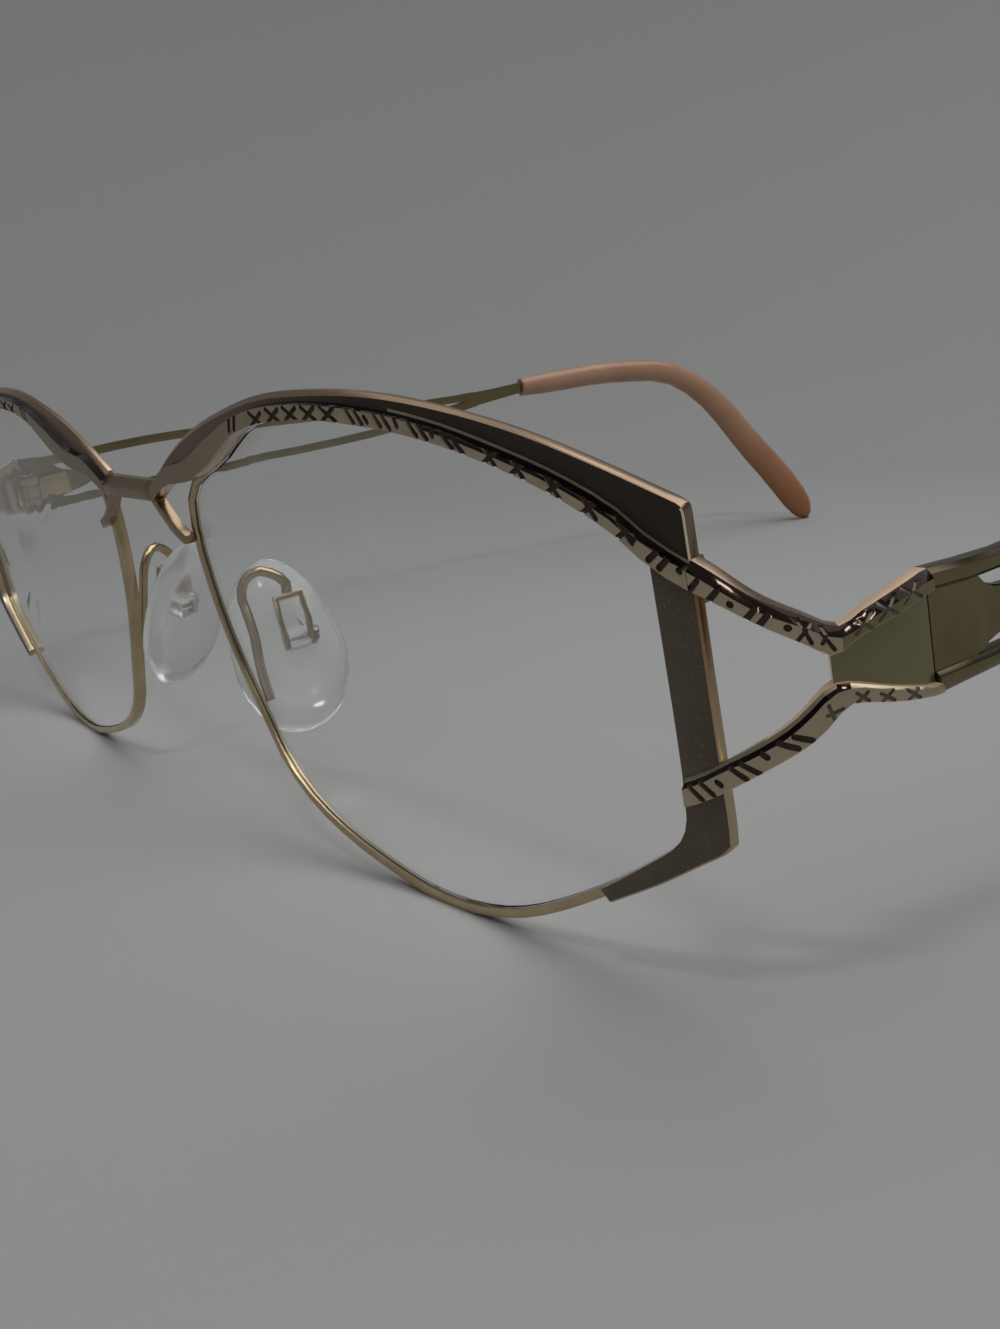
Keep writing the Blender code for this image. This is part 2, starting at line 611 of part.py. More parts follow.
def nose_pad(name):
    """Soft oval pad with a lug for the box."""
    rings = []
    for c, share in ((0, 0.4), (0.2, 0.62), (0.6, 0.86), (1.05, 0.98), (1.4, 1.0), (1.8, 0.92), (2.3, 0.7),
                     (PAD_T - 0.08, 0.42), (PAD_T, 0.16)):
        ring = []
        for t in np.arange(24) * 2 * pi / 24:
            drop = 1.0 - 0.16 * sin(t)
            ring.append(pad_point(PAD_W / 2 * share * cos(t) * drop - PAD_SHIFT, PAD_H / 2 * share * sin(t),
                                  PAD_FRONT + c))
        rings.append(ring)
    lug = pad_block((-LUG_T / 2, LUG_T / 2), (-0.75, 0.75), (-0.62, PAD_FRONT + 0.6))
    body = join("tool", solid("tool", rings), lug)
    return drill(name, body, pad_bore(-3, 3, PAD_PIN_R + 0.05))


def pad_box(name):
    """Metal strap bent over the pad's lug, its two legs bored for the screw."""
    half = LUG_T / 2 + LUG_FIT
    legs = pad_block((-half - WALL_T, half + WALL_T), (-0.8, STRAP_H), (-0.75, 0.28))
    cheeks = pad_block((-half - WALL_T, half + WALL_T), (-0.7, 0.7), (-0.65, 0.62))
    space = pad_block((-half, half), (-2, STRAP_H - WALL_T), (-2, 2))
    return drill(name, join("tool", legs, cheeks), space, pad_bore(-3, 3, PAD_PIN_R + RUN_FIT))


def pad_screw(name):
    half = LUG_T / 2 + LUG_FIT + WALL_T
    return slotted_screw(name, pad_point(half + 0.03, 0, 0), PAD_ACROSS, PAD_PIN_R, 2 * half, 0.58, 0.32)


WIRE_LINE = [(12.75, 2.37, 11.3), (12.4, 2.37, 12.6), (11.95, 2.5, 14.3), (11.5, 2.8, 16.2),
             (10.8, 2.95, 17.8), (10.15, 3.1, 19.2), (10.1, 3.8, 20.4), (10.7, 4.9, 20.7)]


def pad_arm(name):
    """Wire from behind the eyewire over the top of the strap."""
    crown = Vector(pad_point(0, STRAP_H + 2 * SEAM_GAP, -0.25))
    path = [(x * WIDE, y, z) for x, y, z in WIRE_LINE]
    line = spline(path + [tuple(crown + PAD_UP), tuple(crown)], 20)
    rings = []
    ahead = Vector((1, 0, 0))
    for k, p in enumerate(line):
        along = Vector(line[min(k + 1, 19)] - line[max(k - 1, 0)]).normalized()
        ahead = (ahead - along * ahead.dot(along)).normalized()
        across = along.cross(ahead)
        rings.append([tuple(Vector(p) + WIRE_R * (ahead * cos(t) + across * sin(t)))
                      for t in np.arange(8) * 2 * pi / 8])
    return solid(name, rings)


# Assembly

HINGE_AXIS = (AXIS_X, SEAM_Y, (KNUCKLE_LOW + KNUCKLE_TOP) / 2)
PIECES = [
    (brow, "taupe", None), (bar, "taupe", None), (endpiece, "rose_gold", None),
    (eyewire, "rose_gold", None), (lens, "clear", None),
    (lock_upper, "rose_gold", None), (lock_lower, "rose_gold", None), (lock_screw, "steel", None),
    (pad_arm, "rose_gold", None), (pad_box, "rose_gold", None), (pad_screw, "steel", None),
    (nose_pad, "silicone", tuple(PAD_AT)),
    (hinge_front, "rose_gold", None), (hinge_temple, "rose_gold", HINGE_AXIS), (hinge_screw, "steel", None),
    (temple, "rose_gold", HINGE_AXIS), (temple_tip, "amber", HINGE_AXIS),
]


def paint(obj, key):
    color, rough, metal = METALS[key]
    mat = bpy.data.materials.new(obj.name)
    mat.use_nodes = True
    shader = mat.node_tree.nodes["Principled BSDF"]
    shader.inputs["Base Color"].default_value = (*color, 1)
    shader.inputs["Roughness"].default_value = rough
    shader.inputs["Metallic"].default_value = metal
    mat.diffuse_color = (*color, 1)
    obj.data.materials.clear()
    obj.data.materials.append(mat)


def build():
    made = []
    for make, look, pivot in PIECES:
        left = make(make.__name__ + "_left")
        copy = left.data.copy()
        copy.transform(Matrix.Scale(-1, 4, (1, 0, 0)))
        copy.flip_normals()
        right = bpy.data.objects.new(make.__name__ + "_right", copy)
        bpy.context.scene.collection.objects.link(right)
        made.append((left, look, pivot))
        made.append((right, look, pivot and (-pivot[0], pivot[1], pivot[2])))
    made.append((bridge("bridge"), "rose_gold", None))
    return made


def resting_lean(made):
    """Lean at which the lowest points of the rims and of the tips are level."""
    rims = [v.co for obj, _, _ in made if obj.name.startswith("eyewire") for v in obj.data.vertices]
    tips = [v.co for obj, _, _ in made if obj.name.startswith("temple_tip") for v in obj.data.vertices]
    lean = 0.0
    for _ in range(8):
        rim, tip = (min(points, key=lambda p: p.y * sin(lean) + p.z * cos(lean)) for points in (rims, tips))
        lean = atan2(rim.z - tip.z, tip.y - rim.y)
    return lean


def place_all(made, angle):
    """Lean the frame until rims and tips stand on the table, centre it and scale it."""
    lean = Matrix.Rotation(angle, 4, "X")
    for obj, _, _ in made:
        obj.data.transform(lean)
    low = min(v.co.z for obj, _, _ in made if obj.name.startswith("eyewire") for v in obj.data.vertices)
    ys = [v.co.y for obj, _, _ in made for v in obj.data.vertices]
    shift = Matrix.Translation((0, -(min(ys) + max(ys)) / 2, -low))
    for obj, look, pivot in made:
        obj.data.transform(shift)
        if obj.name.startswith("eyewire"):
            flat_under(obj, 0.3, REST_RUN)
        if obj.name.startswith("temple_tip"):
            flat_under(obj, 0.3, 99)
        at = Vector((0, 0, 0))
        if pivot:
            at = shift @ lean @ Vector(pivot)
        obj.data.transform(Matrix.Scale(0.001, 4) @ Matrix.Translation(-at))
        obj.location = at * 0.001
        paint(obj, look)


def flat_under(obj, height, reach):
    """Press the lowest points of a piece flat on the table."""
    lowest = min(obj.data.vertices, key=lambda v: v.co.z).co.copy()
    for v in obj.data.vertices:
        if v.co.z < height and abs(v.co.x - lowest.x) < reach:
            v.co.z = 0.0


for old in list(bpy.data.objects):
    bpy.data.objects.remove(old)
pieces = build()
rest_angle = resting_lean(pieces)
place_all(pieces, rest_angle)
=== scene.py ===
"""Cat-eye metal spectacle frame: the looks of its plates, wires, lenses and pads."""
import json
from math import asin, atan, atan2, cos, hypot, pi, radians, sin

import bpy
from mathutils import Matrix, Vector

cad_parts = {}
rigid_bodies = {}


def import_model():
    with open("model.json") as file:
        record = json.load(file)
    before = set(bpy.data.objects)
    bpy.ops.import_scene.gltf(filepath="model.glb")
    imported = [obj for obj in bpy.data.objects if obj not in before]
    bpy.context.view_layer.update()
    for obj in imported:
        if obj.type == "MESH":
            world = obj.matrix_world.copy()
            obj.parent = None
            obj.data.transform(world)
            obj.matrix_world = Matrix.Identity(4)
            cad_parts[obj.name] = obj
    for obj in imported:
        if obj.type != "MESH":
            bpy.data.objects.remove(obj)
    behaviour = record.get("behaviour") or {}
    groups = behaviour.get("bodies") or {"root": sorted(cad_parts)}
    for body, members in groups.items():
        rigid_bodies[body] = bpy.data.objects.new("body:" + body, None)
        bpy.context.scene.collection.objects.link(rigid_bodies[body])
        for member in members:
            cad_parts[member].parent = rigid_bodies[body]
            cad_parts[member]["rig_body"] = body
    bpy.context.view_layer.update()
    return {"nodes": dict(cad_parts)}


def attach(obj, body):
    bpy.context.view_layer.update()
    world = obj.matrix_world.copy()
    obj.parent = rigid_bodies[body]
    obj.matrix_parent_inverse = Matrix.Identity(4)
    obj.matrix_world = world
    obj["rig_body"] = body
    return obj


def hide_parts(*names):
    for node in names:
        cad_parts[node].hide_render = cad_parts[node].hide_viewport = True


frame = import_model()
bpy.ops.object.select_all(action="DESELECT")


# Eyewires. A thin gold-plated wire with a groove on its inside, bent round each lens and closed
# behind the side bar. It is drawn and tumbled, so its corners are soft and its polish is even.

WIRE_CORNER = 0.00009      # the widths of rounded corners are in metres, as the tools take them
SAME_POINT = 0.000002      # points of a CAD mesh that are closer are one
SAME_PLANE = radians(4)    # its triangles that turn less than this are one face
MARK_DEPTH = 0.0000015     # depth of the polishing marks


def hold(piece):
    """Select one piece alone, as the operators want it."""
    bpy.ops.object.select_all(action="DESELECT")
    piece.select_set(True)
    bpy.context.view_layer.objects.active = piece


def place_in_frame(piece, node):
    """Let a piece stand for a CAD node, on its body."""
    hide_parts(node)
    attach(piece, frame["nodes"][node]["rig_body"])


def dressed(name, node, *looks, squared=True):
    """A merged mesh in the place of a CAD node, with its finishes."""
    piece = bpy.data.objects.new(name, frame["nodes"][node].data.copy())
    bpy.context.scene.collection.objects.link(piece)
    hold(piece)
    bpy.ops.mesh.customdata_custom_splitnormals_clear()
    bpy.ops.object.mode_set(mode="EDIT")
    bpy.ops.mesh.select_all(action="SELECT")
    bpy.ops.mesh.remove_doubles(threshold=SAME_POINT)
    if squared:
        bpy.ops.mesh.tris_convert_to_quads(face_threshold=SAME_PLANE, shape_threshold=pi)
    bpy.ops.object.mode_set(mode="OBJECT")
    piece.data.materials.clear()
    for look in looks:
        piece.data.materials.append(look)
    place_in_frame(piece, node)
    return piece


def smooth(piece, angle):
    """Shade a piece smooth over the edges that turn less than an angle in degrees."""
    hold(piece)
    bpy.ops.object.shade_smooth_by_angle(angle=radians(angle))


def soften(piece, width, angle=28, segments=2):
    """Round the sharp edges of a piece and shade it smooth between them."""
    hold(piece)
    edge = piece.modifiers.new("worn_edge", "BEVEL")
    edge.width = width
    edge.segments = segments
    edge.limit_method = "ANGLE"
    edge.angle_limit = radians(angle)
    edge.use_clamp_overlap = True
    bpy.ops.object.modifier_apply(modifier=edge.name)
    smooth(piece, angle)


def opposite(piece, name, node):
    """The other side's copy of a finished piece, mirrored across the nose."""
    twin = bpy.data.objects.new(name, piece.data.copy())
    bpy.context.scene.collection.objects.link(twin)
    hold(twin)
    bpy.ops.object.mode_set(mode="EDIT")
    bpy.ops.mesh.select_all(action="SELECT")
    bpy.ops.transform.resize(value=(-1, 1, 1), center_override=(0, 0, 0))
    bpy.ops.mesh.flip_normals()
    bpy.ops.object.mode_set(mode="OBJECT")
    place_in_frame(twin, node)
    return twin


def effect(name, values, results):
    """An empty shader node group: a place and named values come in, named masks go out."""
    group = bpy.data.node_groups.new(name, "ShaderNodeTree")
    group.interface.new_socket("Place", in_out="INPUT", socket_type="NodeSocketVector")
    for label in values:
        group.interface.new_socket(label, in_out="INPUT", socket_type="NodeSocketFloat")
    for label in results:
        group.interface.new_socket(label, in_out="OUTPUT", socket_type="NodeSocketFloat")
    taken = group.nodes.new("NodeGroupInput").outputs
    given = group.nodes.new("NodeGroupOutput").inputs
    return group, taken, given


def feed(tree, socket, value):
    """Give a socket a number or a colour, or link another socket to it."""
    if isinstance(value, bpy.types.NodeSocket):
        tree.links.new(value, socket)
    elif socket.type == "RGBA":
        socket.default_value = (*value, 1)
    else:
        socket.default_value = value


def reckon(tree, kind, a, b):
    """A Math node on two numbers or sockets."""
    node = tree.nodes.new("ShaderNodeMath")
    node.operation = kind
    feed(tree, node.inputs[0], a)
    feed(tree, node.inputs[1], b)
    return node.outputs[0]


def cloud(tree, place, scale, detail=2.0):
    """A Noise texture at a place, with its scale per millimetre."""
    node = tree.nodes.new("ShaderNodeTexNoise")
    feed(tree, node.inputs["Vector"], place)
    feed(tree, node.inputs["Scale"], scale)
    feed(tree, node.inputs["Detail"], detail)
    return node.outputs["Fac"]


polish_marks, taken, given = effect(
    "polish_marks", ("Rough", "Spread", "Size"), ("Tone", "Roughness", "Height"))
broad = cloud(polish_marks, taken["Place"], scale=0.35)
fine = cloud(polish_marks, taken["Place"], scale=taken["Size"], detail=4.0)
swing = reckon(polish_marks, "SUBTRACT", reckon(polish_marks, "ADD", broad, fine), 1.0)
swing = reckon(polish_marks, "MULTIPLY", swing, taken["Spread"])
feed(polish_marks, given["Tone"], broad)
feed(polish_marks, given["Roughness"], reckon(polish_marks, "ADD", swing, taken["Rough"]))
feed(polish_marks, given["Height"], fine)


def surface(name):
    """A new material: itself, its tree, its shader and its place in millimetres."""
    material = bpy.data.materials.new(name)
    material.use_nodes = True
    tree = material.node_tree
    where = tree.nodes.new("ShaderNodeTexCoord")
    place = tree.nodes.new("ShaderNodeMapping")
    place.inputs["Scale"].default_value = (1000, 1000, 1000)
    feed(tree, place.inputs["Vector"], where.outputs["Object"])
    return material, tree, tree.nodes["Principled BSDF"], place.outputs["Vector"]


def finish(tree, shader, values):
    """Set the shader's own sockets, each to a value or from another socket."""
    for label, value in values.items():
        feed(tree, shader.inputs[label], value)


def laid(tree, group, place, **values):
    """A node group put in a material at its place, with its own values."""
    node = tree.nodes.new("ShaderNodeGroup")
    node.node_tree = group
    feed(tree, node.inputs["Place"], place)
    for label, value in values.items():
        feed(tree, node.inputs[label], value)
    return node.outputs


def two_tones(tree, mask, dark, light):
    """A colour between two by a mask, each of them a colour or a socket."""
    mix = tree.nodes.new("ShaderNodeMix")
    mix.data_type = "RGBA"
    feed(tree, mix.inputs["Factor"], mask)
    feed(tree, mix.inputs["A"], dark)
    feed(tree, mix.inputs["B"], light)
    return mix.outputs["Result"]


def relief(tree, height, distance, shader):
    """A Bump node from a height to the shader's normal."""
    bump = tree.nodes.new("ShaderNodeBump")
    feed(tree, bump.inputs["Distance"], distance)
    feed(tree, bump.inputs["Height"], height)
    feed(tree, shader.inputs["Normal"], bump.outputs["Normal"])


def polished(name, dark, light, rough, spread=0.08, size=5.0, metal=1.0, coat=0.0):
    """Plated metal with faint polishing marks."""
    material, tree, shader, place = surface(name)
    marks = laid(tree, polish_marks, place, Rough=rough, Spread=spread, Size=size)
    tone = two_tones(tree, marks["Tone"], dark, light)
    finish(tree, shader, {"Base Color": tone, "Roughness": marks["Roughness"],
                          "Metallic": metal, "Coat Weight": coat})
    relief(tree, marks["Height"], MARK_DEPTH, shader)
    return material


wire_gold = polished("wire_gold", dark=(0.40, 0.30, 0.17), light=(0.58, 0.47, 0.30), rough=0.20)

wire = dressed("eyewire_gold_left", "eyewire_left", wire_gold)
soften(wire, WIRE_CORNER)
opposite(wire, "eyewire_gold_right", "eyewire_right")


# Lenses. Clear cast plastic, thin and a little domed, with an edge ground to a bevel that sits in
# the eyewire's groove. They carry a faint cleaning haze and nothing printed.

HAZE = 0.02      # most roughness that the haze gives
DOME_STEP = 8    # the dome's facets turn less than this, in degrees, and are shaded as one


def ramp(tree, value, start, stop, low=0.0, high=1.0):
    """A mask that goes from low to high while a value goes from start to stop."""
    node = tree.nodes.new("ShaderNodeMapRange")
    feed(tree, node.inputs["Value"], value)
    feed(tree, node.inputs["From Min"], start)
    feed(tree, node.inputs["From Max"], stop)
    feed(tree, node.inputs["To Min"], low)
    feed(tree, node.inputs["To Max"], high)
    return node.outputs["Result"]


lens_clear, tree, shader, place = surface("lens_clear")
haze = ramp(tree, cloud(tree, place, scale=0.12), 0.0, 1.0, high=HAZE)
tint = two_tones(tree, cloud(tree, place, scale=0.05), (0.97, 0.985, 0.985), (1.0, 1.0, 1.0))
finish(tree, shader, {"Base Color": tint, "Roughness": haze,
                      "Transmission Weight": 1.0, "IOR": 1.38})

lens = dressed("lens_clear_left", "lens_left", lens_clear, squared=False)
smooth(lens, DOME_STEP)
lens.visible_shadow = False    # thin clear plastic hardly shades the table
opposite(lens, "lens_clear_right", "lens_right").visible_shadow = False


# Brow plates. Stamped plates soldered over each rim: a raised band with an engraved border, a
# lacquered field that widens to the fin, and a polished rose gold bevel. The engraving is filled
# with brown.

# The front's curve, which is that of the CAD plates, in millimetres
LEAN = radians(6.877053)
SETTLE = Vector((0.0, -66.4315, -0.1859))  # its place over the table
FACE_R = 461.0                             # its own radius
WRAP_R = 8.0                               # the radius round a corner
HALF = 68.7                                # from the nose to the outer face past a corner
TURN = asin((HALF - WRAP_R) / (FACE_R - WRAP_R))
FLAT = TURN * FACE_R                       # length from the nose to where a corner starts
WRAP_LONG = WRAP_R * (pi / 2 - TURN)       # length round the corner

# The plate and its lines
PLATE_T = 0.65
BAND_UP = 0.55                             # how far the engraved band stands up
BAND_FACE = BAND_UP - 0.08                 # the band's face lies above this depth
REAR = -PLATE_T + 0.05                     # the plates' backs lie below this one
AHEAD, UPWARD, SIDEWAYS = 0.97, 0.2, -0.3  # least forward or upward part of a face's normal
FIN_FROM, FROST_FROM, FROST_BELOW = 61.4, 39.5, -0.25    # lengths, then height from the middle
DARK_FROM, DARK_TO, DARK_ABOVE = 43, 58.5, 0.15
FIELD_LINE, BAND_LINE = 0.00017, 0.00022   # widths of the lines, in metres
PLATE_CORNER = 0.00005

# The engraving
STROKE, CROSS_STROKE = 0.5, 0.44           # widths
CUT_DEEP, SECOND_CUT = 0.13, 0.12          # depths, the second where strokes cross
CUT_ABOVE = 0.25                           # how far a cutter stands out of the metal
FLOOR_LONG, FLOOR_WIDE = 0.8, 0.7          # a stroke's floor against its mouth


def plate_frame(s, z):
    """The place on the front at a length from the nose and a height, with its own axes."""
    turn = min(s, FLAT) / FACE_R
    x = FACE_R * sin(turn)
    y = FACE_R * (1 - cos(turn))
    if s > FLAT:
        turn = TURN + min(s - FLAT, WRAP_LONG) / WRAP_R
        x += WRAP_R * (sin(turn) - sin(TURN))
        y += WRAP_R * (cos(TURN) - cos(turn)) + max(0.0, s - FLAT - WRAP_LONG)
    local = Matrix(((cos(turn), 0, sin(turn), x), (sin(turn), 0, -cos(turn), y),
                    (0, 1, 0, z), (0, 0, 0, 1)))
    world = Matrix.Scale(0.001, 4) @ Matrix.Translation(SETTLE) @ Matrix.Rotation(LEAN, 4, "X")
    return world @ local


def plate_place(point):
    """Length, height and depth on the front of a point, and the turn of the face there."""
    p = Matrix.Rotation(-LEAN, 3, "X") @ (Vector(point) * 1000 - SETTLE)
    x, y = abs(p.x), p.y
    turn = atan(x / (FACE_R - y))
    if turn < TURN:
        return turn * FACE_R, p.z, hypot(x, FACE_R - y) - FACE_R, turn
    reach = FACE_R - WRAP_R
    arm = Vector((x - reach * sin(TURN), y - FACE_R + reach * cos(TURN)))
    if arm.y < 0:
        turn = atan(arm.x / -arm.y)
        return FLAT + (turn - TURN) * WRAP_R, p.z, arm.length - WRAP_R, turn
    return FLAT + WRAP_LONG + arm.y, p.z, arm.x - WRAP_R, pi / 2


def paint_faces(piece, choose):
    """Give each face the finish that its place, depth and slope call for."""
    lean = Matrix.Rotation(-LEAN, 3, "X")
    for face in piece.data.polygons:
        s, z, d, turn = plate_place(face.center)
        normal = lean @ face.normal
        ahead = normal.x * sin(turn) - normal.y * cos(turn)
        face.material_index = choose(s, z, d, ahead, normal.z)


def rim_strip(piece, look, width, choose):
    """Inset all faces of one finish together, and choose the finish of the strip round them."""
    line = [plate_place(face.center)[:2] for face in piece.data.polygons
            if face.material_index == look]
    hold(piece)
    bpy.ops.object.mode_set(mode="EDIT")
    bpy.ops.mesh.select_mode(type="FACE")
    bpy.ops.mesh.select_all(action="DESELECT")
    piece.active_material_index = look
    bpy.ops.object.material_slot_select()
    bpy.ops.mesh.inset(thickness=width, use_even_offset=True)
    bpy.ops.object.mode_set(mode="OBJECT")
    for face in piece.data.polygons:
        s, z, d, turn = plate_place(face.center)
        if face.material_index == look and not face.select:
            middle = min(line, key=lambda place: abs(place[0] - s))[1]
            face.material_index = choose(s, z - middle)


def engrave(piece, strokes, wide, filling, deep=CUT_DEEP, fold=0.0):
    """Cut round-ended strokes, from (length, height) to (length, height), into a piece's front.

    A stroke narrows towards its floor. A fold tips it back about its foot, to run up a chamfer.
    """
    for s0, z0, s1, z1 in strokes:
        bpy.ops.object.select_all(action="DESELECT")
        bpy.ops.mesh.primitive_cylinder_add(vertices=12, radius=wide / 2, depth=1.0)
        cutter = bpy.context.object
        long = hypot(s1 - s0, z1 - z0)
        for vertex in cutter.data.vertices:
            end = -1 if vertex.co.x < -0.001 else 1
            below = vertex.co.z < 0
            vertex.co.x = vertex.co.x * (FLOOR_LONG if below else 1.0) + end * long / 2
            vertex.co.y *= FLOOR_WIDE if below else 1.0
            vertex.co.z = -deep if below else CUT_ABOVE
        middle = (Matrix.Translation(((s1 - s0) / 2, (z1 - z0) / 2, 0))
                  @ Matrix.Rotation(atan2(z1 - z0, s1 - s0), 4, "Z"))
        foot = plate_frame(s0, z0) @ Matrix.Translation((0, 0, BAND_UP))
        cutter.data.transform(foot @ Matrix.Rotation(-fold, 4, "X") @ middle)
        cutter.data.materials.append(filling)
        hold(piece)
        cut = piece.modifiers.new("engraving", "BOOLEAN")
        cut.operation = "DIFFERENCE"
        cut.solver = "EXACT"
        cut.material_mode = "TRANSFER"
        cut.object = cutter
        bpy.ops.object.modifier_apply(modifier=cut.name)
        bpy.data.objects.remove(cutter)


def along(tree, place, axis):
    """One coordinate of a place."""
    split = tree.nodes.new("ShaderNodeSeparateXYZ")
    feed(tree, split.inputs["Vector"], place)
    return split.outputs[axis]


def browner(material, tone, start, stop):
    """Turn a finish to a tone that is full at one distance from the nose and gone at another."""
    tree = material.node_tree
    base = tree.nodes["Principled BSDF"].inputs["Base Color"]
    own = base.links[0].from_socket
    sideways = along(tree, tree.nodes["Mapping"].outputs["Vector"], "X")
    from_nose = reckon(tree, "ABSOLUTE", sideways, 0.0)
    feed(tree, base, two_tones(tree, ramp(tree, from_nose, start, stop), tone, own))


lacquer_grain, taken, given = effect(
    "lacquer_grain", ("Grain",), ("Tone", "Fleck", "Height"))
finer = reckon(lacquer_grain, "MULTIPLY", taken["Grain"], 1.7)
flecks = cloud(lacquer_grain, taken["Place"], scale=finer)
flecks = reckon(lacquer_grain, "SUBTRACT", flecks, 0.60)
flecks = reckon(lacquer_grain, "MULTIPLY", flecks, 6.0)
feed(lacquer_grain, given["Tone"], cloud(lacquer_grain, taken["Place"], scale=0.25))
feed(lacquer_grain, given["Fleck"], reckon(lacquer_grain, "MAXIMUM", flecks, 0.0))
feed(lacquer_grain, given["Height"],
     cloud(lacquer_grain, taken["Place"], scale=taken["Grain"], detail=3.0))


def lacquer(name, dark, light, fleck, rough, grain=7.0, metal=0.55, depth=0.000006):
    """Metallic lacquer with a fine grain and pale flecks."""
    material, tree, shader, place = surface(name)
    grains = laid(tree, lacquer_grain, place, Grain=grain)
    tone = two_tones(tree, grains["Tone"], dark, light)
    finish(tree, shader, {"Base Color": two_tones(tree, grains["Fleck"], tone, fleck),
                          "Metallic": metal, "Roughness": rough})
    relief(tree, grains["Height"], depth, shader)
    return material


taupe_field = lacquer(
    "taupe_field", dark=(0.024, 0.015, 0.008), light=(0.040, 0.029, 0.017),
    fleck=(0.10, 0.08, 0.05), rough=0.40, grain=9.0, metal=0.5)
browner(taupe_field, (0.17, 0.11, 0.075), start=20.0, stop=36.0)
rose_bevel = polished(
    "rose_bevel", dark=(0.60, 0.42, 0.28), light=(0.78, 0.57, 0.39), rough=0.22)
# Both browner tones on the bevel are painted shade: they dim the lamp's reflection in it towards
# the nose and from 44 mm out towards the fin.
browner(rose_bevel, (0.42, 0.30, 0.21), start=20.0, stop=42.0)
browner(rose_bevel, (0.30, 0.215, 0.145), start=58.0, stop=44.0)
band_gold = polished(
    "band_gold", dark=(0.40, 0.34, 0.23), light=(0.55, 0.48, 0.34), rough=0.30,
    spread=0.1, size=7.0)
browner(band_gold, (0.30, 0.23, 0.16), start=12.0, stop=38.0)
# Near-black on chamfers that are polished gold: a painted dark reflection of the room, under a
# clear coat that still takes the lamps' glints.
chamfer_dark_reflection = polished(
    "chamfer_dark_reflection", dark=(0.010, 0.005, 0.003), light=(0.024, 0.015, 0.011), rough=0.10,
    spread=0.03, coat=0.2)
frosted_line = lacquer(
    "frosted_line", dark=(0.34, 0.28, 0.20), light=(0.60, 0.52, 0.40),
    fleck=(1.0, 0.95, 0.82), rough=0.35, grain=14.0, metal=0.9, depth=0.00003)
# A bright gold for the line at the fin's end: a painted highlight.
edge_glint = polished(
    "edge_glint", dark=(0.86, 0.76, 0.50), light=(1.0, 0.92, 0.68), rough=0.2, metal=0.6)
engraved_brown = lacquer(
    "engraved_brown", dark=(0.045, 0.022, 0.016), light=(0.075, 0.042, 0.032),
    fleck=(0.10, 0.07, 0.05), rough=0.55)
PLATE_LOOKS = [taupe_field, rose_bevel, band_gold, chamfer_dark_reflection, frosted_line, wire_gold,
               edge_glint]
FIELD, BEVEL, BAND, CHAMFER, FROST, BACK, GLINT = range(7)


def brow_look(s, z, d, ahead, up):
    """The finish of a brow plate's face."""
    if ahead > AHEAD and d > BAND_FACE:
        return BAND
    # The band's wall gets the painted dark reflection.
    if up > UPWARD and d > 0.03:
        return CHAMFER
    if ahead > AHEAD and abs(d) < 0.05:
        return FIELD
    if ahead > SIDEWAYS and d > REAR:
        return BEVEL
    return BACK


def field_edge(s, above):
    """The line round the field: a painted highlight on the fin's end, frosted along the band."""
    if s > FIN_FROM:
        return GLINT
    return FROST if s > FROST_FROM and above < FROST_BELOW else FIELD


def band_edge(s, above):
    """A painted dark reflection along the upper edge of the band, which widens the dark chamfer
    above it.
    """
    return CHAMFER if DARK_FROM < s < DARK_TO and above > DARK_ABOVE else BAND


def strokes_at(places, start, stop):
    """A stroke about each place, between two offsets from it."""
    return [(s + start[0], z + start[1], s + stop[0], z + stop[1]) for s, z in places]


BROW_SLASHES = [(35.8, 34.6, 36.45, 33.75), (36.6, 34.57, 37.3, 33.67),
                (38.45, 34.45, 39.15, 33.55), (39.3, 34.33, 40.02, 33.4),
                (41.7, 33.95, 42.5, 33.0), (42.6, 33.72, 43.4, 32.8),
                (44.8, 33.05, 45.63, 32.25), (45.67, 32.8, 46.45, 32.0),
                (60.05, 27.05, 59.4, 26.6), (60.75, 26.75, 60.05, 26.2),
                (20.85, 33.1, 21.25, 34.1), (21.6, 33.2, 22.05, 34.2)]
BROW_DOTS = [(37.68, 34.05, 37.85, 33.8), (40.66, 33.85, 40.78, 33.55),
             (43.85, 33.25, 43.95, 33.0), (61.35, 26.13, 61.37, 26.12)]
INNER_CROSSES = [(24.9, 33.9), (27.2, 34.15), (29.4, 34.25), (31.6, 34.28), (33.8, 34.25)]
OUTER_CROSSES = [(48.65, 31.78), (50.75, 31.17), (53.3, 30.17), (55.75, 29.17), (58.05, 27.97)]
ONE_WAY = (strokes_at(INNER_CROSSES, (-0.75, 0.42), (0.75, -0.42))
           + strokes_at(OUTER_CROSSES, (-0.36, 0.52), (0.38, -0.52)))
OTHER_WAY = (strokes_at(INNER_CROSSES, (-0.75, -0.42), (0.75, 0.42))
             + strokes_at(OUTER_CROSSES, (-0.5, -0.25), (0.5, 0.28)))

plate = dressed("brow_plate_left", "brow_left", *PLATE_LOOKS)
paint_faces(plate, brow_look)
rim_strip(plate, FIELD, FIELD_LINE, field_edge)
rim_strip(plate, BAND, BAND_LINE, band_edge)
engrave(plate, BROW_SLASHES, STROKE, engraved_brown)
engrave(plate, ONE_WAY, CROSS_STROKE, engraved_brown)
engrave(plate, OTHER_WAY, CROSS_STROKE, engraved_brown, SECOND_CUT)
engrave(plate, BROW_DOTS, STROKE, engraved_brown)
soften(plate, PLATE_CORNER, segments=3)
opposite(plate, "brow_plate_right", "brow_right")


# Side bars. Lacquered metal uprights soldered beside the lenses, which sweep in under the lower
# corner, with a bright gold bevel down the outer edge that is browner towards the top.

EDGE_BROWN_AT, EDGE_BRIGHT_AT = 24.0, 14.0    # heights

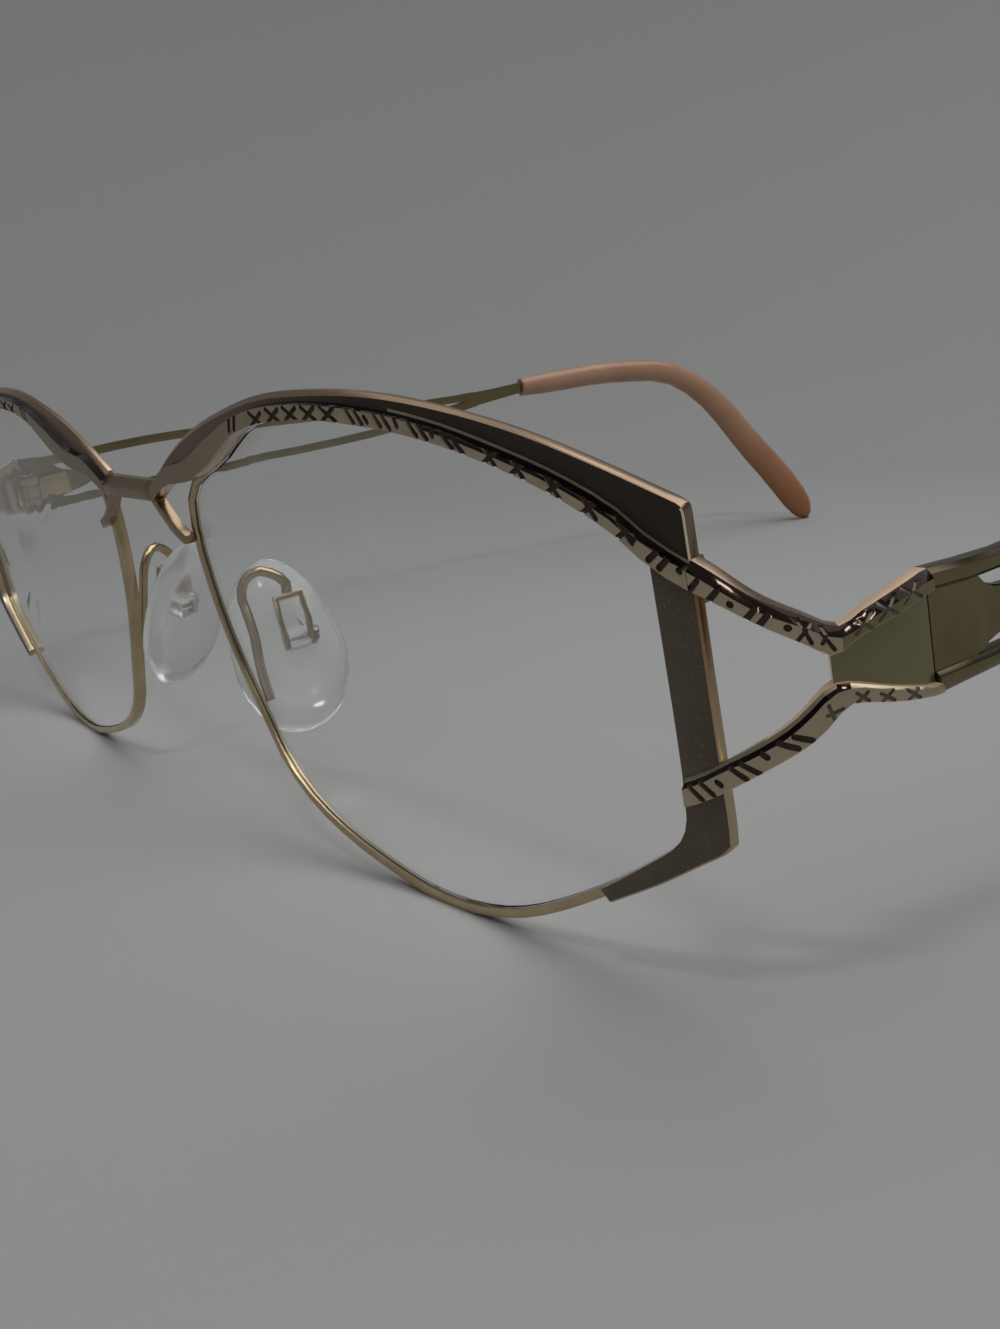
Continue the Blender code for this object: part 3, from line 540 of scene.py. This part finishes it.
bar_edge, tree, shader, place = surface("bar_edge")
down = ramp(tree, along(tree, place, "Z"), EDGE_BROWN_AT, EDGE_BRIGHT_AT)
uneven = reckon(tree, "MULTIPLY", cloud(tree, place, scale=1.2), 0.4)
tone = two_tones(tree, reckon(tree, "ADD", down, uneven), (0.30, 0.15, 0.055), (0.50, 0.41, 0.28))
finish(tree, shader, {"Base Color": tone, "Metallic": 1.0, "Roughness": 0.3})
bar_taupe = lacquer(
    "bar_taupe", dark=(0.075, 0.054, 0.034), light=(0.130, 0.102, 0.072),
    fleck=(0.24, 0.20, 0.15), rough=0.42, grain=5.0, metal=0.5)
BAR_LOOKS = [bar_taupe, bar_edge, wire_gold]
BAR_FRONT, BAR_EDGE, BAR_REAR = range(3)


def bar_look(s, z, d, ahead, up):
    """The finish of a side bar's face."""
    if ahead > 0.9 and abs(d) < 0.1:
        return BAR_FRONT
    return BAR_EDGE if d > REAR else BAR_REAR


bar = dressed("side_bar_left", "bar_left", *BAR_LOOKS)
paint_faces(bar, bar_look)
soften(bar, PLATE_CORNER)
opposite(bar, "side_bar_right", "bar_right")


# Endpieces. Two engraved arms in plated metal leave the brow and the bar, wrap the corner and close
# into a waisted plate with a sunk satin field. They are soldered to the plates and to the hinge.

ARM_AHEAD, ARM_UPWARD = 0.95, 0.3     # least forward or upward part of a face's normal
ARMS_PART_AT = 20                     # height between the upper and the lower arm
PLATE_FROM = 68.8                     # length at which the arms become one plate
PEACH_FROM = 64.5                     # length from which the lower arm's inner face is painted the lighter peach, a painted highlight
CHAMFER_SPLIT = 0.3                   # depth between the chamfer's two rows
BROWN_BELOW = -0.3                    # depth below which the upper arm's top is brown
ARM_STROKE = 0.48
ARM_CROSS, FOOT_CROSS, GREY_CROSS, CHAMFER_CROSS = 0.28, 0.27, 0.26, 0.24
CHAMFER_CUT, CHAMFER_SECOND_CUT = 0.08, 0.07
CHAMFER_FOLD = radians(42)

sunk_field = lacquer(
    "sunk_field", dark=(0.185, 0.168, 0.090), light=(0.27, 0.245, 0.14),
    fleck=(0.34, 0.31, 0.19), rough=0.34, grain=9.0, metal=0.85, depth=0.000002)
arm_top = polished("arm_top", dark=(0.34, 0.25, 0.18), light=(0.50, 0.37, 0.27), rough=0.24)
# A lighter, less metallic copy of the rose gold for the endpiece's top and side faces on the plate
# and the lower arm's inner face near the throat: a painted highlight.
peach_highlight = polished(
    "peach_highlight", dark=(0.84, 0.58, 0.40), light=(1.0, 0.74, 0.53), rough=0.3, metal=0.55)
outer_brown = polished(
    "outer_brown", dark=(0.10, 0.065, 0.045), light=(0.17, 0.12, 0.085), rough=0.25)
engraved_faint = lacquer(
    "engraved_faint", dark=(0.13, 0.108, 0.082), light=(0.205, 0.17, 0.13),
    fleck=(0.27, 0.23, 0.18), rough=0.5)
engraved_grey = lacquer(
    "engraved_grey", dark=(0.12, 0.11, 0.085), light=(0.20, 0.185, 0.15),
    fleck=(0.30, 0.28, 0.24), rough=0.5)
ARM_LOOKS = [sunk_field, peach_highlight, band_gold, chamfer_dark_reflection, arm_top, wire_gold, outer_brown]
SUNK, PEACH, ARM_BAND, ARM_CHAMFER, ARM_TOP, ARM_BACK, ARM_OUTER = range(7)


def endpiece_look(s, z, d, ahead, up):
    """The finish of an endpiece's face."""
    above, on_plate = z > ARMS_PART_AT, s > PLATE_FROM
    if ahead > ARM_AHEAD and d > BAND_UP - 0.1:
        return SUNK if above and on_plate else ARM_BAND
    if ahead > ARM_AHEAD and d < 0:
        return SUNK
    # Chamfers get the painted dark reflection; below the upper arm only one of their two rows does,
    # and the other keeps the band's gold.
    if up > ARM_UPWARD and d > 0.05 and ahead > 0.3:
        if above:
            return ARM_CHAMFER
        if on_plate:
            return ARM_BAND if d > CHAMFER_SPLIT else ARM_CHAMFER
        return ARM_CHAMFER if d > CHAMFER_SPLIT else ARM_BAND
    # Top faces on the plate, and the lower arm's inner face past PEACH_FROM, get the lighter peach:
    # a painted highlight.
    if up > ARM_UPWARD and above:
        if d < BROWN_BELOW:
            return ARM_OUTER
        return PEACH if on_plate else ARM_TOP
    if up > ARM_UPWARD and not on_plate:
        return PEACH if s > PEACH_FROM else ARM_TOP
    return PEACH if d > REAR else ARM_BACK


ARM_SLASHES = [(62.35, 25.65, 61.8, 25.15), (63.35, 25.15, 62.8, 24.65),
               (65.05, 24.15, 64.6, 23.7), (65.65, 23.85, 65.15, 23.35),
               (59.6, 14.25, 60.6, 13.5), (60.4, 14.6, 61.4, 13.95),
               (62.65, 15.7, 63.6, 15.15), (63.35, 15.95, 64.35, 15.5),
               (65.4, 17.15, 66.3, 16.85), (66.2, 17.45, 67.0, 17.22)]
ARM_DOTS = [(63.95, 24.5, 63.97, 24.49), (66.5, 23.15, 66.52, 23.14),
            (61.8, 14.72, 62.0, 14.62), (64.55, 16.55, 64.75, 16.42)]
UPPER_ONE_WAY = [(67.2, 23.0, 67.5, 22.25), (68.0, 22.6, 68.5, 21.75)]
UPPER_OTHER_WAY = [(67.3, 22.9, 66.85, 22.45), (68.2, 22.55, 67.95, 22.15)]
LOWER_ONE_WAY = [(67.9, 18.9, 68.1, 18.15), (69.25, 19.3, 69.8, 18.8),
                 (70.4, 19.0, 71.05, 18.5), (71.8, 18.75, 72.5, 18.15)]
LOWER_OTHER_WAY = [(68.5, 18.65, 67.75, 18.4), (69.75, 19.25, 69.2, 18.85),
                   (71.0, 19.0, 70.4, 18.6), (72.45, 18.65, 71.75, 18.25)]
PLATE_ONE_WAY = [(70.0, 22.72, 70.4, 22.35), (71.3, 23.12, 71.75, 22.75),
                 (72.75, 23.52, 73.2, 23.2)]
PLATE_OTHER_WAY = [(69.9, 22.68, 69.5, 22.3), (71.15, 23.08, 70.7, 22.7),
                   (72.55, 23.48, 72.1, 23.15)]
CHAMFER_ONE_WAY = [(67.2, 22.98, 66.95, 23.45), (68.2, 22.5, 68.0, 23.0),
                   (69.95, 22.75, 69.6, 23.2), (71.2, 23.18, 70.85, 23.65),
                   (72.6, 23.55, 72.25, 24.0)]
CHAMFER_OTHER_WAY = [(67.3, 22.95, 67.75, 23.4), (70.05, 22.8, 70.5, 23.25),
                     (71.3, 23.22, 71.75, 23.7), (72.7, 23.6, 73.15, 24.05)]

arms = dressed("endpiece_arms_left", "endpiece_left", *ARM_LOOKS)
paint_faces(arms, endpiece_look)
engrave(arms, ARM_SLASHES, ARM_STROKE, engraved_brown)
engrave(arms, ARM_DOTS, ARM_STROKE, engraved_brown)
engrave(arms, UPPER_ONE_WAY, ARM_CROSS, engraved_brown)
engrave(arms, UPPER_OTHER_WAY, ARM_CROSS, engraved_brown, SECOND_CUT)
engrave(arms, LOWER_ONE_WAY, FOOT_CROSS, engraved_faint)
engrave(arms, LOWER_OTHER_WAY, FOOT_CROSS, engraved_faint, SECOND_CUT)
engrave(arms, PLATE_ONE_WAY, GREY_CROSS, engraved_grey)
engrave(arms, PLATE_OTHER_WAY, GREY_CROSS, engraved_grey, SECOND_CUT)
engrave(arms, CHAMFER_ONE_WAY, CHAMFER_CROSS, engraved_grey, CHAMFER_CUT, CHAMFER_FOLD)
engrave(arms, CHAMFER_OTHER_WAY, CHAMFER_CROSS, engraved_grey, CHAMFER_SECOND_CUT, CHAMFER_FOLD)
soften(arms, PLATE_CORNER, segments=3)
opposite(arms, "endpiece_arms_right", "endpiece_right")


# Bridge. A plain bar between the brow plates with a strut down to each rim, cut from one piece,
# plated in a bronze-toned gold and soldered on.

BRIDGE_CORNER = 0.00006

bronze = polished("bronze", dark=(0.26, 0.18, 0.12), light=(0.38, 0.28, 0.19), rough=0.26)
span = dressed("bridge_bar", "bridge", bronze)
soften(span, BRIDGE_CORNER)


# Rim locks. A small bronze-toned block behind each side bar, split across so that the eyewire opens
# for its lens, and closed by a slotted steel screw.

FITTING_CORNER = 0.00004


def fitting(node, look, corner=FITTING_CORNER):
    """A small metal part and its opposite."""
    part = dressed(node + "_metal_left", node + "_left", look)
    soften(part, corner)
    opposite(part, node + "_metal_right", node + "_right")


screw_steel = polished(
    "screw_steel", dark=(0.16, 0.14, 0.11), light=(0.30, 0.27, 0.22), rough=0.28)
fitting("lock_upper", bronze)
fitting("lock_lower", bronze)
fitting("lock_screw", screw_steel)


# Pad boxes. A gold-plated strip at the end of each pad arm, bent over the pad's lug, with a steel
# cross screw that holds the pad and lets it rock.

STRAP_CORNER = 0.00018

fitting("pad_box", wire_gold, STRAP_CORNER)
fitting("pad_screw", screw_steel)


# Hinges. Three-knuckle barrel hinges behind the corners: a gold-plated leaf soldered to the
# endpiece, another to the temple, and a slotted steel screw through both.

fitting("hinge_front", wire_gold)
fitting("hinge_screw", screw_steel)
fitting("hinge_temple", wire_gold)


# Pad arms. Soft gold-plated wire, soldered to the back of the rim and bent over the top of each pad
# into its box.

ROUND_WIRE = 50

arm = dressed("pad_arm_wire_left", "pad_arm_left", wire_gold)
smooth(arm, ROUND_WIRE)
opposite(arm, "pad_arm_wire_right", "pad_arm_right")


# Nose pads. Moulded clear silicone, soft-edged and slightly milky, with a lug at the back that the
# cross screw goes through.

PAD_CORNER = 0.0001

pad_silicone, tree, shader, place = surface("pad_silicone")
milk = two_tones(tree, cloud(tree, place, scale=0.4), (0.86, 0.89, 0.88), (0.95, 0.96, 0.95))
skin = ramp(tree, cloud(tree, place, scale=0.8), 0.0, 1.0, low=0.06, high=0.16)
finish(tree, shader, {"Base Color": milk, "Roughness": skin,
                      "Transmission Weight": 0.84, "IOR": 1.41})
pad = dressed("nose_pad_soft_left", "nose_pad_left", pad_silicone)
soften(pad, PAD_CORNER, angle=35)
pad.visible_shadow = False
opposite(pad, "nose_pad_soft_right", "nose_pad_right").visible_shadow = False


# Temples. Plated openwork sides stamped from one strip: two bars round a tongue, one shaft behind.
# The flats are satin gold, and the narrow edges of the openwork are painted a darker gold as
# painted shade.

TEMPLE_CORNER = 0.00016
SHAFT_FROM = -0.004    # behind this place in metres the side is one shaft, gold all round

temple_gold = polished(
    "temple_gold", dark=(0.17, 0.14, 0.072), light=(0.25, 0.21, 0.115), rough=0.32)
temple_edge_shade = polished(
    "temple_edge_shade", dark=(0.060, 0.044, 0.027), light=(0.105, 0.085, 0.055), rough=0.24)
temple = dressed("temple_side_left", "temple_left", temple_gold, temple_edge_shade)
# Faces that are not flat sides get the darker gold: painted shade on the openwork's edges.
for face in temple.data.polygons:
    flat = abs(face.normal.x) > 0.95 or face.center.y > SHAFT_FROM
    face.material_index = 0 if flat else 1
soften(temple, TEMPLE_CORNER, segments=3)
opposite(temple, "temple_side_right", "temple_right")


# Ear tips. Amber plastic sleeves pushed onto the temples' cores and bent warm, browner towards
# the end.

HONEY_AT, BROWN_AT = 24.0, 4.0    # heights
ROUND_SLEEVE = 50

amber_tip, tree, shader, place = surface("amber_tip")
honey = two_tones(tree, cloud(tree, place, scale=0.15), (0.34, 0.18, 0.10), (0.46, 0.29, 0.19))
down = ramp(tree, along(tree, place, "Z"), HONEY_AT, BROWN_AT)
finish(tree, shader, {"Base Color": two_tones(tree, down, honey, (0.30, 0.12, 0.045)),
                      "Roughness": 0.3, "Subsurface Weight": 0.3,
                      "Subsurface Radius": (0.002, 0.001, 0.0005)})
tip = dressed("ear_tip_left", "temple_tip_left", amber_tip)
smooth(tip, ROUND_SLEEVE)
opposite(tip, "ear_tip_right", "temple_tip_right")


# Table. A pale seamless sheet of paper that lies flat under the frame and sweeps up far behind,
# a little cooler and warmer in broad patches.

TABLE_R, SWEEP, SWEEP_STEPS = 0.4, 1.4, 24
UNDER_FRAME = (10.0, -10.0, 0.0)         # middle of the painted pool of light, in millimetres
PALE_TO, DARK_AT = 20.0, 170.0           # distances from it
SWEEP_FROM, SWEEP_FULL = 200.0, 1500.0

bpy.ops.object.select_all(action="DESELECT")
bpy.ops.mesh.primitive_circle_add(vertices=128, radius=TABLE_R, fill_type="NGON",
                                  location=(0, 0, 0))
table = bpy.context.object
table.name = "table"
bpy.ops.object.mode_set(mode="EDIT")
bpy.ops.mesh.select_all(action="SELECT")
for step in range(SWEEP_STEPS):
    a0, a1 = step * pi / (2 * SWEEP_STEPS), (step + 1) * pi / (2 * SWEEP_STEPS)
    lift = SWEEP * (cos(a0) - cos(a1))
    grow = (TABLE_R + SWEEP * sin(a1)) / (TABLE_R + SWEEP * sin(a0))
    bpy.ops.mesh.extrude_region_move(TRANSFORM_OT_translate={"value": (0, 0, lift)})
    bpy.ops.transform.resize(value=(grow, grow, 1), center_override=(0, 0, 0))
bpy.ops.mesh.delete(type="ONLY_FACE")
bpy.ops.object.mode_set(mode="OBJECT")
bpy.ops.object.shade_smooth()

table_pale, tree, shader, place = surface("table_pale")
reach = tree.nodes.new("ShaderNodeVectorMath")
reach.operation = "DISTANCE"
reach.inputs[1].default_value = UNDER_FRAME
feed(tree, reach.inputs[0], place)
# A painted pool of light: the paper is paler round the frame and fades to the darker tone further
# out.
light_pool_falloff = ramp(tree, reach.outputs["Value"], PALE_TO, DARK_AT)
far = ramp(tree, reach.outputs["Value"], SWEEP_FROM, SWEEP_FULL)
warmth = cloud(tree, place, scale=0.012)
inner = two_tones(tree, warmth, (0.352, 0.372, 0.376), (0.384, 0.366, 0.360))
outer = two_tones(tree, warmth, (0.272, 0.290, 0.294), (0.302, 0.288, 0.280))
paper = two_tones(tree, far, two_tones(tree, light_pool_falloff, inner, outer), (0.37, 0.37, 0.37))
finish(tree, shader, {"Base Color": paper, "Roughness": 0.7, "Specular IOR Level": 0.2})
table.data.materials.append(table_pale)


# Light. One broad soft lamp overhead, a small strip in front that draws the glints, and an even
# white room.

ROOM = 0.38

world = bpy.data.worlds.new("room")
bpy.context.scene.world = world
world.use_nodes = True
world.node_tree.nodes["Background"].inputs["Color"].default_value = (1.0, 1.0, 1.0, 1)
world.node_tree.nodes["Background"].inputs["Strength"].default_value = ROOM


def softbox(name, place, aim, size, power):
    """A rectangular soft lamp turned to a point."""
    light = bpy.data.lights.new(name, "AREA")
    light.shape = "RECTANGLE"
    light.size, light.size_y = size
    light.energy = power
    lamp = bpy.data.objects.new(name, light)
    bpy.context.scene.collection.objects.link(lamp)
    lamp.location = place
    lamp.rotation_euler = (Vector(aim) - Vector(place)).to_track_quat("-Z", "Y").to_euler()


softbox("overhead", place=(0.25, 0.3, 1.1), aim=(0.05, 0.05, 0), size=(1.3, 1.3), power=7.9)
softbox("glint_strip", place=(0.36, -0.38, 0.70), aim=(0.065, -0.06, 0.02), size=(0.14, 0.05),
        power=0.9)


# Camera. Close to the wearer's left corner and a little above it, looking down past the corner and
# along the front, as in the photograph.

CAMERA_AT = (0.119074, -0.116405, 0.040422)
CAMERA_TURN, CAMERA_DOWN, CAMERA_ROLL = radians(55.8842), radians(13.4716), radians(-4.8067)

eye = bpy.data.cameras.new("camera")
eye.sensor_width = 36
eye.sensor_fit = "HORIZONTAL"
eye.lens = 56.024
eye.clip_start = 0.005
eye.clip_end = 20
camera = bpy.data.objects.new("camera", eye)
bpy.context.scene.collection.objects.link(camera)
aim = (Matrix.Rotation(CAMERA_TURN, 4, "Z") @ Matrix.Rotation(pi / 2 - CAMERA_DOWN, 4, "X")
       @ Matrix.Rotation(CAMERA_ROLL, 4, "Z"))
camera.matrix_world = Matrix.Translation(CAMERA_AT) @ aim
bpy.context.scene.camera = camera
bpy.context.scene.view_settings.view_transform = "Standard"
